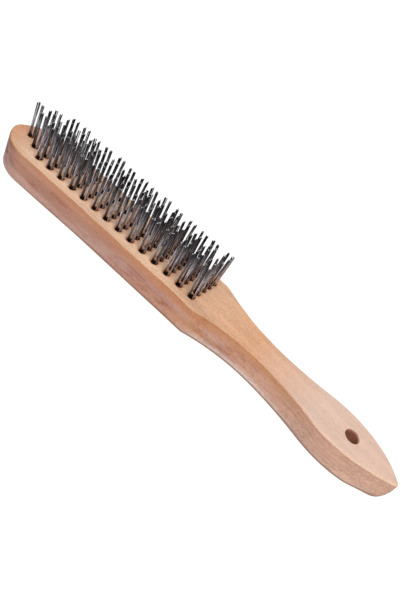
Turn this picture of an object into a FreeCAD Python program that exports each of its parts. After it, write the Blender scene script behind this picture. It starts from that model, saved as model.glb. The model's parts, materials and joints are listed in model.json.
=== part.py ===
import FreeCAD, Part
import Sketcher
import math
import os

# Hand wire scratch brush: a wooden block (head and handle in one piece) with
# 74 tufts of steel wire. Each tuft is five hairpins of wire, folded over a flat
# steel anchor that is driven across the bottom of its hole.
#
# Frame of the block while it is drawn: +X from the tip of the head to the end
# of the handle, Z = 0 on the flat back of the head, bristles towards +Z. Every
# sub-part gets the same Placement, which lays the brush down on its back.

os.makedirs("parts", exist_ok=True)
doc = FreeCAD.newDocument("wire_scratch_brush")
V = FreeCAD.Vector

sizes = [
    ("totalLength", 289.0, "tip of the head to the end of the handle"),
    ("headWidth", 37.0, "parallel part of the head"),
    ("headThickness", 19.2, "bristle face to back"),
    ("noseRadius", 8.0, "very tip of the head, in plan"),
    ("cheekRadius", 26.0, "between tip and parallel sides"),
    ("shoulderRadius", 8.0, "where the head steps in to the neck"),
    ("waistPlace", 201.0, "narrowest point of the neck, from the tip"),
    ("waistWidth", 19.8, "width of the neck there"),
    ("neckFrontRadius", 118.0, "hollow of the neck towards the head"),
    ("neckBackRadius", 190.0, "hollow of the neck towards the grip"),
    ("bellyPlace", 250.3, "widest part of the grip, from the tip"),
    ("bellyWidth", 29.0, "widest part of the grip"),
    ("endRadius", 2.0, "pointed end of the handle, in plan"),
    ("topBendStart", 122.0, "where the bristle face starts to bend back"),
    ("topBendRadius", 780.0, "bend of the bristle face"),
    ("topDrop", 8.14, "fall of that face at the end of the handle"),
    ("backBendStart", 141.0, "where the back starts to bend"),
    ("backBendRadius", 940.0, "bend of the back"),
    ("backDrop", 7.44, "fall of the back, carried on to the end of the handle"),
    ("heelRadius", 16.6, "heel under the end, seen from the side"),
    ("heelSpared", 4.0, "upright part of the end above the heel"),
    ("topEdgeRadius", 1.2, "broken edge round the bristle face"),
    ("backEdgeRadius", 4.5, "rounded edge round the back"),
    ("hangPlace", 257.5, "centre of the hanging hole, from the tip"),
    ("hangDiameter", 8.0, "hanging hole"),
    ("firstColumn", 12.0, "centre of the first hole, from the tip"),
    ("columnPitch", 9.19, "holes along the head"),
    ("rowPitch", 5.3, "holes across the head"),
    ("fullColumns", 14, "columns of five holes, after the first two"),
    ("rowCount", 5, "holes in a full column"),
    ("holeDiameter", 4.2, "tuft hole"),
    ("holeDepth", 12.0, "tuft hole"),
    ("wireDiameter", 0.45, "round steel wire"),
    ("wirePitch", 0.5, "wires side by side in a tuft"),
    ("wiresPerTuft", 5, "hairpins in a tuft"),
    ("bendRadius", 1.5, "centre line of a hairpin's bend"),
    ("bristleHeight", 21.8, "wire above the bristle face"),
    ("anchorLength", 5.0, "flat anchor, across the head"),
    ("anchorThickness", 0.8, "flat anchor, along the head"),
    ("anchorHeight", 2.0, "flat anchor, down the hole"),
]

sheet = doc.addObject("Spreadsheet::Sheet", "Sheet")
for line, (alias, value, meaning) in enumerate(sizes, start=1):
    sheet.set(f"A{line}", meaning)
    sheet.set(f"B{line}", str(value))
    sheet.setAlias(f"B{line}", alias)
doc.recompute()
size = {alias: float(sheet.get(alias)) for alias, value, meaning in sizes}


def origin_plane(body, role):
    """The body's own origin plane or axis with this role."""
    return next(f for f in body.Origin.OriginFeatures if f.Role == role)


def add_body(name):
    body = doc.addObject("PartDesign::Body", name)
    body.Label = name
    if hasattr(body, "AllowCompound"):
        body.AllowCompound = True
    return body


def add_sketch(body, name, role="XY_Plane", height=None, offset=None):
    """A sketch on one of the body's origin planes, lifted by a sheet formula."""
    sketch = body.newObject("Sketcher::SketchObject", name)
    sketch.AttachmentSupport = [(origin_plane(body, role), "")]
    sketch.MapMode = "FlatFace"
    if offset is not None:
        sketch.AttachmentOffset = offset
    if height is not None:
        sketch.setExpression("AttachmentOffset.Base.z", height)
    return sketch


def bind(sketch, constraint, name, formula):
    """Add a dimension, name it and drive it from the sheet."""
    index = sketch.addConstraint(constraint)
    sketch.renameConstraint(index, name)
    sketch.setExpression(f"Constraints.{name}", formula)
    return index


def tangent_arc(center, radius, start, end):
    """Arc from start to end angle in degrees, counter-clockwise."""
    circle = Part.Circle(V(center[0], center[1], 0), V(0, 0, 1), radius)
    return Part.ArcOfCircle(circle, math.radians(start), math.radians(end))


def angle_to(a, b):
    return math.degrees(math.atan2(b[1] - a[1], b[0] - a[0]))


def segment(a, b):
    return Part.LineSegment(V(a[0], a[1], 0), V(b[0], b[1], 0))


# ---------------------------------------------------------------- the block
block = add_body("handle_block")

# side profile: flat head, then both faces bend back and run straight to the
# end, whose lower part is rounded off into a heel
side = add_sketch(block, "side_profile", "XZ_Plane")
length = size["totalLength"]
thick = size["headThickness"]


def bent_face(start, radius, drop, level):
    """Centre of the bend and the point where the bend meets the straight grip."""
    run = length - start
    reach = math.hypot(run, radius - drop)
    turn = math.atan2(run, radius - drop) - math.acos(radius / reach)
    turn_point = (start + radius * math.sin(turn), level - radius * (1 - math.cos(turn)))
    return (start, level - radius), turn_point, math.degrees(turn)


top_center, top_point, top_turn = bent_face(
    size["topBendStart"], size["topBendRadius"], size["topDrop"], thick)
back_center, back_point, back_turn = bent_face(
    size["backBendStart"], size["backBendRadius"], size["backDrop"], 0.0)

# the heel's arc leaves the upright end smoothly and meets the back at a corner
top_end = (length, thick - size["topDrop"])
heel_r = size["heelRadius"]
heel_c = (length - heel_r, top_end[1] - size["heelSpared"])
back_slope = math.radians(back_turn)
heel_depth = (heel_c[1] + size["backDrop"]) * math.cos(back_slope) - heel_r * math.sin(back_slope)
heel_lean = math.acos(heel_depth / heel_r) - back_slope
corner = (heel_c[0] + heel_r * math.sin(heel_lean), heel_c[1] - heel_r * math.cos(heel_lean))
side.addGeometry([
    segment((0, 0), (size["backBendStart"], 0)),
    tangent_arc(back_center, size["backBendRadius"], 90 - back_turn, 90),
    segment(back_point, corner),
    tangent_arc(heel_c, heel_r, angle_to(heel_c, corner), 0),
    segment((length, heel_c[1]), top_end),
    segment(top_end, top_point),
    tangent_arc(top_center, size["topBendRadius"], 90 - top_turn, 90),
    segment((size["topBendStart"], thick), (0, thick)),
    segment((0, thick), (0, 0)),
], False)
# the back carried on to the end, where its fall is measured
side.addGeometry([segment(corner, (length, -size["backDrop"]))], True)
side.addConstraint([
    Sketcher.Constraint("Coincident", 0, 1, -1, 1),
    Sketcher.Constraint("Tangent", 0, 2, 1, 2),
    Sketcher.Constraint("Tangent", 1, 1, 2, 1),
    Sketcher.Constraint("Coincident", 2, 2, 3, 1),
    Sketcher.Constraint("Tangent", 3, 2, 4, 1),
    Sketcher.Constraint("Coincident", 4, 2, 5, 1),
    Sketcher.Constraint("Tangent", 5, 2, 6, 1),
    Sketcher.Constraint("Tangent", 6, 2, 7, 1),
    Sketcher.Constraint("Coincident", 7, 2, 8, 1),
    Sketcher.Constraint("Coincident", 8, 2, 0, 1),
    Sketcher.Constraint("Horizontal", 0),
    Sketcher.Constraint("Horizontal", 7),
    Sketcher.Constraint("Vertical", 4),
    Sketcher.Constraint("Vertical", 8),
    Sketcher.Constraint("Tangent", 9, 1, 2, 2),
    Sketcher.Constraint("PointOnObject", 9, 2, 4),
])
bind(side, Sketcher.Constraint("DistanceY", 8, 2, 8, 1, thick), "thickness", "Sheet.headThickness")
bind(side, Sketcher.Constraint("DistanceX", 0, 1, 4, 1, length), "length", "Sheet.totalLength")
bind(side, Sketcher.Constraint("DistanceX", 0, 1, 0, 2, size["backBendStart"]),
     "backStart", "Sheet.backBendStart")
bind(side, Sketcher.Constraint("DistanceX", 7, 2, 7, 1, size["topBendStart"]),
     "topStart", "Sheet.topBendStart")
bind(side, Sketcher.Constraint("Radius", 1, size["backBendRadius"]), "backBend", "Sheet.backBendRadius")
bind(side, Sketcher.Constraint("Radius", 6, size["topBendRadius"]), "topBend", "Sheet.topBendRadius")
bind(side, Sketcher.Constraint("DistanceY", 9, 2, 0, 1, size["backDrop"]), "backFall", "Sheet.backDrop")
bind(side, Sketcher.Constraint("DistanceY", 4, 2, 7, 2, size["topDrop"]), "topFall", "Sheet.topDrop")
bind(side, Sketcher.Constraint("Radius", 3, heel_r), "heel", "Sheet.heelRadius")
bind(side, Sketcher.Constraint("DistanceY", 4, 1, 4, 2, size["heelSpared"]), "spared", "Sheet.heelSpared")

blank = block.newObject("PartDesign::Pad", "blank")
blank.Profile = side
blank.Midplane = True
blank.setExpression("Length", "Sheet.headWidth + 10")
side.Visibility = False
doc.recompute()

# plan outline: what the bandsaw takes off one side of the blank. The outline
# is a chain of tangent arcs: nose, cheek, straight side, shoulder, the two
# hollows of the neck, the two sides of the grip's belly and the pointed end.
half_head = size["headWidth"] / 2
half_waist = size["waistWidth"] / 2
half_belly = size["bellyWidth"] / 2
nose_r = size["noseRadius"]
cheek_r = size["cheekRadius"]
shoulder_r = size["shoulderRadius"]
front_r = size["neckFrontRadius"]
rear_r = size["neckBackRadius"]
end_r = size["endRadius"]
waist_x = size["waistPlace"]
belly_x = size["bellyPlace"]

nose_c = (nose_r, 0.0)
cheek_c = (nose_r + math.sqrt((cheek_r - nose_r) ** 2 - (cheek_r - half_head) ** 2),
           half_head - cheek_r)
front_c = (waist_x, half_waist + front_r)
rear_c = (waist_x, half_waist + rear_r)
shoulder_c = (waist_x - math.sqrt((front_r + shoulder_r) ** 2
                                  - (front_c[1] - half_head + shoulder_r) ** 2),
              half_head - shoulder_r)
end_c = (length - end_r, 0.0)

# the belly's two arcs meet at its widest point, so both centres are level with
# it: the front one touches the hollow of the neck, the rear one the end's arc
hollow_gap = rear_c[1] - half_belly
grip_front_r = (((belly_x - waist_x) ** 2 + hollow_gap ** 2 - rear_r ** 2)
                / (2 * (rear_r - hollow_gap)))
grip_rear_r = ((end_c[0] - belly_x) ** 2 / (half_belly - end_r) + half_belly + end_r) / 2
grip_front_c = (belly_x, half_belly - grip_front_r)
grip_rear_c = (belly_x, half_belly - grip_rear_r)

nose_turn = angle_to(cheek_c, nose_c)
shoulder_turn = angle_to(shoulder_c, front_c)
grip_turn = angle_to(grip_front_c, rear_c)
end_turn = angle_to(grip_rear_c, end_c)
edge = 6.0                      # saw's waste beyond the outline
waste = half_head + edge

plan = add_sketch(block, "plan_outline", "XY_Plane")
plan.addGeometry([
    tangent_arc(nose_c, nose_r, nose_turn, 180),
    tangent_arc(cheek_c, cheek_r, 90, nose_turn),
    segment((cheek_c[0], half_head), (shoulder_c[0], half_head)),
    tangent_arc(shoulder_c, shoulder_r, shoulder_turn, 90),
    tangent_arc(front_c, front_r, 180 + shoulder_turn, 270),
    tangent_arc(rear_c, rear_r, 270, 180 + grip_turn),
    tangent_arc(grip_front_c, grip_front_r, 90, grip_turn),
    tangent_arc(grip_rear_c, grip_rear_r, end_turn, 90),
    tangent_arc(end_c, end_r, 0, end_turn),
    segment((length, 0), (length + edge, 0)),
    segment((length + edge, 0), (length + edge, waste)),
    segment((length + edge, waste), (-edge, waste)),
    segment((-edge, waste), (-edge, 0)),
    segment((-edge, 0), (0, 0)),
], False)
plan.addConstraint([
    Sketcher.Constraint("Tangent", 0, 1, 1, 2),
    Sketcher.Constraint("Tangent", 1, 1, 2, 1),
    Sketcher.Constraint("Tangent", 2, 2, 3, 2),
    Sketcher.Constraint("Tangent", 3, 1, 4, 1),
    Sketcher.Constraint("Tangent", 4, 2, 5, 1),
    Sketcher.Constraint("Tangent", 5, 2, 6, 2),
    Sketcher.Constraint("Tangent", 6, 1, 7, 2),
    Sketcher.Constraint("Tangent", 7, 1, 8, 2),
    Sketcher.Constraint("Coincident", 8, 1, 9, 1),
    Sketcher.Constraint("Coincident", 9, 2, 10, 1),
    Sketcher.Constraint("Coincident", 10, 2, 11, 1),
    Sketcher.Constraint("Coincident", 11, 2, 12, 1),
    Sketcher.Constraint("Coincident", 12, 2, 13, 1),
    Sketcher.Constraint("Coincident", 13, 2, 0, 2),
    Sketcher.Constraint("Coincident", 0, 2, -1, 1),
    Sketcher.Constraint("PointOnObject", 0, 3, -1),
    Sketcher.Constraint("PointOnObject", 8, 3, -1),
    Sketcher.Constraint("PointOnObject", 8, 1, -1),
    Sketcher.Constraint("Horizontal", 2),
    Sketcher.Constraint("Horizontal", 9),
    Sketcher.Constraint("Horizontal", 11),
    Sketcher.Constraint("Horizontal", 13),
    Sketcher.Constraint("Vertical", 10),
    Sketcher.Constraint("Vertical", 12),
    Sketcher.Constraint("Vertical", 4, 3, 4, 2),
    Sketcher.Constraint("Vertical", 6, 3, 6, 1),
])
for index, name, alias in ((0, "nose", "noseRadius"), (1, "cheek", "cheekRadius"),
                           (3, "shoulder", "shoulderRadius"),
                           (4, "neckFront", "neckFrontRadius"),
                           (5, "neckBack", "neckBackRadius"), (8, "end", "endRadius")):
    bind(plan, Sketcher.Constraint("Radius", index, size[alias]), name, f"Sheet.{alias}")
bind(plan, Sketcher.Constraint("DistanceY", -1, 1, 2, 1, half_head), "halfHead", "Sheet.headWidth / 2")
bind(plan, Sketcher.Constraint("DistanceX", -1, 1, 4, 2, waist_x), "waistX", "Sheet.waistPlace")
bind(plan, Sketcher.Constraint("DistanceY", -1, 1, 4, 2, half_waist), "halfWaist", "Sheet.waistWidth / 2")
bind(plan, Sketcher.Constraint("DistanceX", -1, 1, 6, 1, belly_x), "bellyX", "Sheet.bellyPlace")
bind(plan, Sketcher.Constraint("DistanceY", -1, 1, 6, 1, half_belly), "halfBelly", "Sheet.bellyWidth / 2")
bind(plan, Sketcher.Constraint("DistanceX", -1, 1, 8, 1, length), "length", "Sheet.totalLength")
plan.addConstraint(Sketcher.Constraint("DistanceX", 8, 1, 9, 2, edge))
plan.addConstraint(Sketcher.Constraint("DistanceX", 13, 1, 13, 2, edge))
plan.addConstraint(Sketcher.Constraint("DistanceY", -1, 1, 11, 1, waste))

sawn = block.newObject("PartDesign::Pocket", "sawn_side")
sawn.Profile = plan
sawn.Type = "ThroughAll"
sawn.Midplane = True
plan.Visibility = False
doc.recompute()

mirrored = block.newObject("PartDesign::Mirrored", "other_side")
mirrored.Originals = [sawn]
mirrored.MirrorPlane = (origin_plane(block, "XZ_Plane"), [""])
block.Tip = mirrored
doc.recompute()


def rim_edges(shape, up):
    """Edges between the sawn sides and the face that looks up (+1) or down (-1)."""
    names = []
    for number, rim in enumerate(shape.Edges, start=1):
        middle = rim.valueAt((rim.FirstParameter + rim.LastParameter) / 2)
        tilts = []
        for face in shape.ancestorsOfType(rim, Part.Face):
            u, v = face.Surface.parameter(middle)
            tilts.append(face.normalAt(u, v).z)
        if len(tilts) == 2 and min(abs(t) for t in tilts) < 0.1 and max(t * up for t in tilts) > 0.9:
            names.append(f"Edge{number}")
    return names


top_edge = block.newObject("PartDesign::Fillet", "top_edge")
top_edge.Base = (mirrored, rim_edges(mirrored.Shape, 1))
top_edge.setExpression("Radius", "Sheet.topEdgeRadius")
doc.recompute()
back_edge = block.newObject("PartDesign::Fillet", "back_edge")
back_edge.Base = (top_edge, rim_edges(top_edge.Shape, -1))
back_edge.setExpression("Radius", "Sheet.backEdgeRadius")
doc.recompute()


# ------------------------------------------------------- holes in the block
# a full column of holes starts at the row nearest -Y; the tip of the head is
# too narrow for it, so its first column has one hole and its second has three
first_row = "Sheet.rowPitch * (Sheet.rowCount - 1) / 2"
first_full = "Sheet.firstColumn + 2 * Sheet.columnPitch"
second_row = "Sheet.rowPitch"
hole_floor = "Sheet.headThickness - Sheet.holeDepth"
columns = int(size["fullColumns"]) + 2
rows_in_column = [1, 3] + [int(size["rowCount"])] * int(size["fullColumns"])


def bind_centre(sketch, index, point, x_formula, y_formula):
    """Place a point at x_formula, and at y_formula towards -Y, or on the X axis."""
    bind(sketch, Sketcher.Constraint("DistanceX", -1, 1, index, point, 1.0), "across", x_formula)
    if y_formula is None:
        sketch.addConstraint(Sketcher.Constraint("PointOnObject", index, point, -1))
    else:
        bind(sketch, Sketcher.Constraint("DistanceY", index, point, -1, 1, 1.0), "down", y_formula)


def circle_sketch(body, name, x_formula, y_formula, diameter, height):
    sketch = add_sketch(body, name, height=height)
    start = V(1, 0 if y_formula is None else -1, 0)
    sketch.addGeometry(Part.Circle(start, V(0, 0, 1), size[diameter] / 2), False)
    bind_centre(sketch, 0, 3, x_formula, y_formula)
    bind(sketch, Sketcher.Constraint("Diameter", 0, size[diameter]), "width", f"Sheet.{diameter}")
    return sketch


def anchor_sketch(body, name, x_formula, y_formula, height):
    """Outline of one flat anchor, seen along the hole."""
    sketch = add_sketch(body, name, height=height)
    middle_y = 0 if y_formula is None else -1
    half_x, half_y = size["anchorThickness"] / 2, size["anchorLength"] / 2
    corners = [(1 - half_x, middle_y - half_y), (1 + half_x, middle_y - half_y),
               (1 + half_x, middle_y + half_y), (1 - half_x, middle_y + half_y)]
    sketch.addGeometry([segment(corners[n], corners[(n + 1) % 4]) for n in range(4)], False)
    sketch.addGeometry(Part.Point(V(1, middle_y, 0)), True)
    for n in range(4):
        sketch.addConstraint(Sketcher.Constraint("Coincident", n, 2, (n + 1) % 4, 1))
        sketch.addConstraint(Sketcher.Constraint("Vertical" if n % 2 else "Horizontal", n))
    sketch.addConstraint(Sketcher.Constraint("Symmetric", 0, 1, 2, 1, 4, 1))
    bind(sketch, Sketcher.Constraint("DistanceX", 0, 1, 0, 2, 2 * half_x), "thin", "Sheet.anchorThickness")
    bind(sketch, Sketcher.Constraint("DistanceY", 1, 1, 1, 2, 2 * half_y), "long", "Sheet.anchorLength")
    bind_centre(sketch, 4, 1, x_formula, y_formula)
    return sketch


def add_grid(body, name, originals, first, second=None):
    """Repeat features along one or two axes; each is (axis, step, count) in sheet formulas."""
    grid = body.newObject("PartDesign::LinearPattern", name)
    grid.Originals = originals
    axis, step, count = first
    grid.Direction = (origin_plane(body, f"{axis}_Axis"), [""])
    grid.setExpression("Length", f"{step} * ({count} - 1)")
    grid.setExpression("Occurrences", count)
    if second is not None:
        axis, step, count = second
        grid.Direction2 = (origin_plane(body, f"{axis}_Axis"), [""])
        grid.setExpression("Length2", f"{step} * ({count} - 1)")
        grid.setExpression("Occurrences2", count)
    body.Tip = grid
    return grid


# the anchors lie on the inside of the hairpins' bends, their corners touching
# the wire, and their ends sit in slots pressed into the wood beside the hole
bend_inside = size["bendRadius"] - size["wireDiameter"] / 2
corner_rise = bend_inside - math.sqrt(bend_inside ** 2 - (size["anchorThickness"] / 2) ** 2)
anchor_foot = f"{hole_floor} + Sheet.wireDiameter + {corner_rise:.6f}"


def cut_holes(group, x_formula, y_formula, *repeats):
    """Tuft holes and the slots for their anchors, repeated over a grid."""
    drilled = block.newObject("PartDesign::Pocket", f"{group}_hole")
    drilled.Profile = circle_sketch(block, f"{group}_hole_outline", x_formula, y_formula,
                                    "holeDiameter", "Sheet.headThickness")
    drilled.setExpression("Length", "Sheet.holeDepth")
    slot = block.newObject("PartDesign::Pocket", f"{group}_slot")
    slot.Profile = anchor_sketch(block, f"{group}_slot_outline", x_formula, y_formula, anchor_foot)
    slot.Reversed = True
    slot.setExpression("Length", "Sheet.anchorHeight")
    if repeats:
        add_grid(block, f"{group}_holes", [drilled, slot], *repeats)
    doc.recompute()


cut_holes("tip", "Sheet.firstColumn", None)
cut_holes("second", "Sheet.firstColumn + Sheet.columnPitch", second_row,
          ("Y", "Sheet.rowPitch", "3"))
cut_holes("main", first_full, first_row,
          ("X", "Sheet.columnPitch", "Sheet.fullColumns"),
          ("Y", "Sheet.rowPitch", "Sheet.rowCount"))

# hanging hole, square to the face of the grip
hang_x = size["hangPlace"]
hang_z = top_point[1] - (hang_x - top_point[0]) * math.tan(math.radians(top_turn))
square_to_grip = FreeCAD.Placement(V(hang_x, 0, hang_z), FreeCAD.Rotation(V(0, 1, 0), top_turn))
hang_outline = add_sketch(block, "hang_hole_outline", offset=square_to_grip)
hang_outline.addGeometry(Part.Circle(V(0, 0, 0), V(0, 0, 1), size["hangDiameter"] / 2), False)
hang_outline.addConstraint(Sketcher.Constraint("Coincident", 0, 3, -1, 1))
bind(hang_outline, Sketcher.Constraint("Diameter", 0, size["hangDiameter"]), "width",
     "Sheet.hangDiameter")
hang_outline.setExpression("AttachmentOffset.Base.x", "Sheet.hangPlace")
hang_hole = block.newObject("PartDesign::Pocket", "hang_hole")
hang_hole.Profile = hang_outline
hang_hole.Type = "ThroughAll"
hang_hole.Midplane = True
block.Tip = hang_hole
doc.recompute()


# --------------------------------------------------------- tufts and anchors
def column_formulas(column):
    """Place of the first hole of a column counted from 0, and its repeat across the head."""
    x_formula = f"Sheet.firstColumn + {column} * Sheet.columnPitch"
    if rows_in_column[column] == 1:
        return x_formula, None, None
    if rows_in_column[column] == 3:
        return x_formula, second_row, ("Y", "Sheet.rowPitch", "3")
    return x_formula, first_row, ("Y", "Sheet.rowPitch", "Sheet.rowCount")


def add_tuft_row(column):
    """Every hairpin of one column: a bent wire, repeated side by side and hole by hole."""
    x_formula, y_formula, holes = column_formulas(column)
    body = add_body(f"tuft_row_{column + 1:02d}")
    half_bundle = "Sheet.wirePitch * (Sheet.wiresPerTuft - 1) / 2"
    first_wire = half_bundle if y_formula is None else f"{y_formula} + {half_bundle}"
    leg_x = f"{x_formula} - Sheet.bendRadius"
    bend_level = f"{hole_floor} + Sheet.wireDiameter / 2 + Sheet.bendRadius"
    tip_level = "Sheet.headThickness + Sheet.bristleHeight"

    path = add_sketch(body, f"hairpin_path_{column + 1:02d}", "XZ_Plane", first_wire)
    radius = size["bendRadius"]
    low, high = 20.0, 60.0      # any start: the dimensions below set both levels
    path.addGeometry([
        segment((0, high), (0, low)),
        tangent_arc((radius, low), radius, 180, 360),
        segment((2 * radius, low), (2 * radius, high)),
    ], False)
    path.addConstraint([
        Sketcher.Constraint("Tangent", 0, 2, 1, 1),
        Sketcher.Constraint("Tangent", 1, 2, 2, 1),
        Sketcher.Constraint("Vertical", 0),
        Sketcher.Constraint("Vertical", 2),
        Sketcher.Constraint("Horizontal", 0, 1, 2, 2),
    ])
    bind(path, Sketcher.Constraint("Radius", 1, radius), "bend", "Sheet.bendRadius")
    bind(path, Sketcher.Constraint("DistanceX", -1, 1, 0, 1, 1.0), "leg", leg_x)
    bind(path, Sketcher.Constraint("DistanceY", -1, 1, 0, 1, high), "tip", tip_level)
    bind(path, Sketcher.Constraint("DistanceY", -1, 1, 0, 2, low), "foot", bend_level)
    section = circle_sketch(body, f"wire_section_{column + 1:02d}", leg_x, first_wire,
                            "wireDiameter", tip_level)
    doc.recompute()

    hairpin = body.newObject("PartDesign::AdditivePipe", f"hairpin_{column + 1:02d}")
    hairpin.Profile = section
    hairpin.Spine = (path, ["Edge1", "Edge2", "Edge3"])
    doc.recompute()
    add_grid(body, f"hairpins_{column + 1:02d}", [hairpin],
             ("Y", "Sheet.wirePitch", "Sheet.wiresPerTuft"), holes)
    return body


def add_anchor_row(column):
    """The flat steel anchors of one column of holes."""
    x_formula, y_formula, holes = column_formulas(column)
    body = add_body(f"anchor_row_{column + 1:02d}")
    anchor = body.newObject("PartDesign::Pad", f"anchor_{column + 1:02d}")
    anchor.Profile = anchor_sketch(body, f"anchor_outline_{column + 1:02d}",
                                   x_formula, y_formula, anchor_foot)
    anchor.setExpression("Length", "Sheet.anchorHeight")
    body.Tip = anchor
    doc.recompute()
    if holes is not None:
        add_grid(body, f"anchors_{column + 1:02d}", [anchor], holes)
    return body


bodies = [block]
for column in range(columns):
    bodies.append(add_tuft_row(column))
    bodies.append(add_anchor_row(column))
doc.recompute()

# ------------------------------------------------------------- lie it down
# the handle bends back, so on a table only the rounded edge at the tip and the
# corner where the back meets the heel touch: that line is level at rest
rounding = size["backEdgeRadius"]
reach_x, reach_z = corner[0] - rounding, rounding - corner[1]
rest_tilt = math.atan2(reach_z, reach_x) - math.asin(rounding / math.hypot(reach_x, reach_z))
laid_down = FreeCAD.Rotation(V(0, 1, 0), -math.degrees(rest_tilt))
floor_level = laid_down.multVec(V(corner[0], 0, corner[1])).z

# origin under the middle of the whole brush, on the surface it lies on
turned = FreeCAD.Placement(V(0, 0, 0), laid_down)
block.Placement = turned
box = block.Shape.optimalBoundingBox(False)
origin = V((box.XMin + box.XMax) / 2, 0, floor_level)
for body in bodies:
    body.Placement = FreeCAD.Placement(origin.negative(), laid_down)
doc.recompute()

# ------------------------------------------------------- check and write out
hairpins_in = {f"tuft_row_{n + 1:02d}": rows * int(size["wiresPerTuft"])
               for n, rows in enumerate(rows_in_column)}
anchors_in = {f"anchor_row_{n + 1:02d}": rows for n, rows in enumerate(rows_in_column)}
expected = {"handle_block": 1, **hairpins_in, **anchors_in}

for item in doc.Objects:
    if "Invalid" in item.State or "Error" in item.State:
        raise RuntimeError(f"{item.Name} did not compute: {item.State}")
for body in bodies:
    shape = body.Shape
    if shape.isNull() or not shape.isValid():
        raise RuntimeError(f"{body.Label} has no valid shape")
    if len(shape.Solids) != expected[body.Label]:
        raise RuntimeError(f"{body.Label} has {len(shape.Solids)} solids")
for body in bodies:
    body.Shape.exportStep(f"parts/{body.Label}.step")

whole = Part.makeCompound([body.Shape for body in bodies]).optimalBoundingBox(False)
print("sub-parts", len(bodies), "solids", sum(expected.values()))
print("size", round(whole.XLength, 2), round(whole.YLength, 2), round(whole.ZLength, 2))
print("lowest", round(whole.ZMin, 4), "rest tilt", round(math.degrees(rest_tilt), 3))
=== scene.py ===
import json
import math

import bpy
from mathutils import Matrix, Quaternion, Vector, noise

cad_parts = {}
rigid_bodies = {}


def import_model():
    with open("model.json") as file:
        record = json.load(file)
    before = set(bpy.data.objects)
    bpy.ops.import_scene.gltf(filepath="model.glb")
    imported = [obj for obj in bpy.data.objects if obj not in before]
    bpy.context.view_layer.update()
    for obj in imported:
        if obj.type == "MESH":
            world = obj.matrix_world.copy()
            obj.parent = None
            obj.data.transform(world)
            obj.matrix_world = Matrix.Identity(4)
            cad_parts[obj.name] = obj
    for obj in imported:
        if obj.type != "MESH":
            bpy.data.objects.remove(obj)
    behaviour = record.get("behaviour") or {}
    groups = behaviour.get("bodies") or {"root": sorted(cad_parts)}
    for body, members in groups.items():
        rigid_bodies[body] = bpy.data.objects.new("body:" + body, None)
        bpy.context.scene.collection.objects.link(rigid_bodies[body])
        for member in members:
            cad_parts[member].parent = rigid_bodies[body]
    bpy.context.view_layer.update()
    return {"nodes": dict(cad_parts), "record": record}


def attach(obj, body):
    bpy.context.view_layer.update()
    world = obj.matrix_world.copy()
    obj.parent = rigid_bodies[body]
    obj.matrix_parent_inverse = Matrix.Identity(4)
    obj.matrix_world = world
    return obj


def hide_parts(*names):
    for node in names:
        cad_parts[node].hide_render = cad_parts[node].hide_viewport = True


# Hand wire scratch brush: a beech block with 74 tufts of steel wire, lying on
# its back. Every piece is drawn in millimetres in the block's own frame (X from
# the tip of the head to the end of the handle, Z = 0 on the back of the head)
# and then laid down with one matrix that is read from the frame.

for leftover in list(bpy.data.objects):  # a fresh file may hold a cube and a lamp
    bpy.data.objects.remove(leftover)
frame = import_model()
mounts = {mount["name"]: mount for mount in frame["record"]["mounts"]}
print("frame loaded:", len(frame["nodes"]), "nodes")


# small helpers

def addNode(tree, kind, *sources, **settings):
    # sources feed the inputs in use, in their order; a setting with a capital
    # letter feeds an input by name, any other is a property of the node itself
    node = tree.nodes.new(kind)
    for key, value in settings.items():
        if key[0].islower():
            setattr(node, key, value)
    inputs = [socket for socket in node.inputs if socket.enabled]
    fed = list(zip(inputs, sources))
    for key, value in settings.items():
        if key[0].isupper():
            fed.append((next(s for s in inputs if s.name == key.replace("_", " ")), value))
    for socket, source in fed:
        if isinstance(source, bpy.types.Node):
            source = next(s for s in source.outputs if s.enabled)
        if isinstance(source, bpy.types.NodeSocket):
            tree.links.new(source, socket)
        elif source is not None:
            socket.default_value = source
    return node


# settings that many nodes share
times, minus = {"operation": "MULTIPLY"}, {"operation": "SUBTRACT"}
softly, inColor = {"interpolation_type": "SMOOTHSTEP"}, {"data_type": "RGBA"}


def hexColor(code):
    # sRGB hex to the linear values that shaders take
    parts = [int(code[i:i + 2], 16) / 255 for i in (1, 3, 5)]
    return tuple(p / 12.92 if p <= 0.04045 else ((p + 0.055) / 1.055) ** 2.4 for p in parts) + (1.0,)


def startMaterial(name):
    material = bpy.data.materials.new(name)
    material.use_nodes = True
    tree = material.node_tree
    return material, tree, tree.nodes["Principled BSDF"]


def startTree(name, sockets):
    # a Geometry Nodes tree with named inputs, each given as name: type
    tree = bpy.data.node_groups.new(name, "GeometryNodeTree")
    for label, kind in sockets.items():
        tree.interface.new_socket(name=label, in_out="INPUT", socket_type="NodeSocket" + kind)
    tree.interface.new_socket(name="Geometry", in_out="OUTPUT", socket_type="NodeSocketGeometry")
    return tree, addNode(tree, "NodeGroupInput").outputs


def bakeTree(name, tree, values, startMesh=None):
    # run the tree once and keep its result as a plain mesh
    holder = bpy.data.objects.new(name + "Holder", startMesh or bpy.data.meshes.new(name + "Start"))
    bpy.context.scene.collection.objects.link(holder)
    modifier = holder.modifiers.new("nodes", "NODES")
    modifier.node_group = tree
    for item in tree.interface.items_tree:
        if item.in_out == "INPUT" and item.name in values:
            modifier[item.identifier] = values[item.name]
    depsgraph = bpy.context.evaluated_depsgraph_get()
    mesh = bpy.data.meshes.new_from_object(holder.evaluated_get(depsgraph), depsgraph=depsgraph)
    bpy.data.objects.remove(holder)
    mesh.name = name
    return mesh


def addPiece(name, mesh, nodes):
    piece = bpy.data.objects.new(name, mesh)
    bpy.context.scene.collection.objects.link(piece)
    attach(piece, "root")
    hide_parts(*nodes)
    return piece


# where the block lies: its back face mount is 72 mm from the tip, on Z = 0

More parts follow.
